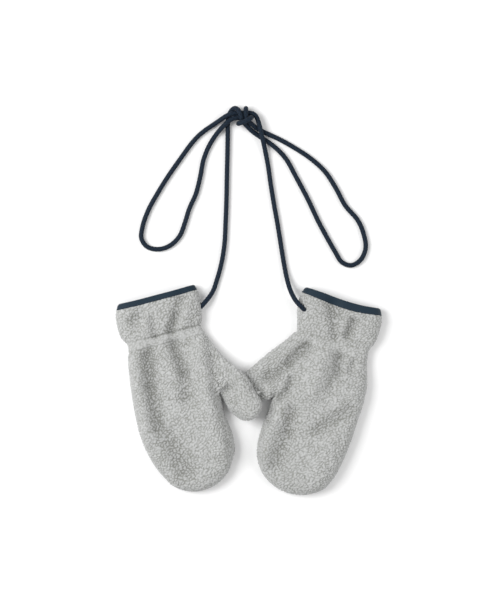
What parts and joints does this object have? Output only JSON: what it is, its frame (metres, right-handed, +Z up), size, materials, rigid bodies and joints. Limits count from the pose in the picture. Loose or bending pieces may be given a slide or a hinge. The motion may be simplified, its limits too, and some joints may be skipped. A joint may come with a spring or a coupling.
{
  "type": "pair of mittens",
  "caption": "Child's fleece mittens lying flat with thumbs overlapping, cuffs bound in tape and joined by a cord tied in a bow.",
  "frame": {"origin": "on the table, at the middle of the bounding box of both mittens without their cord", "axes": "+Z up off the table, +X from the left mitten to the right one, +Y from the fingertips towards the cuffs and the cord's bow"},
  "size_m": [0.2324, 0.34, 0.024],
  "materials": {
    "boa_fleece": "light grey boa fleece with a curly pile",
    "binding_tape": "navy woven binding tape, matt",
    "braided_cord": "navy braided round cord, matt"
  },
  "bodies": {
    "root": {"left_front_panel": "boa_fleece", "left_rear_panel": "boa_fleece", "left_binding": "binding_tape", "right_front_panel": "boa_fleece", "right_rear_panel": "boa_fleece", "right_binding": "binding_tape", "cord": "braided_cord"}
  },
  "joints": []
}
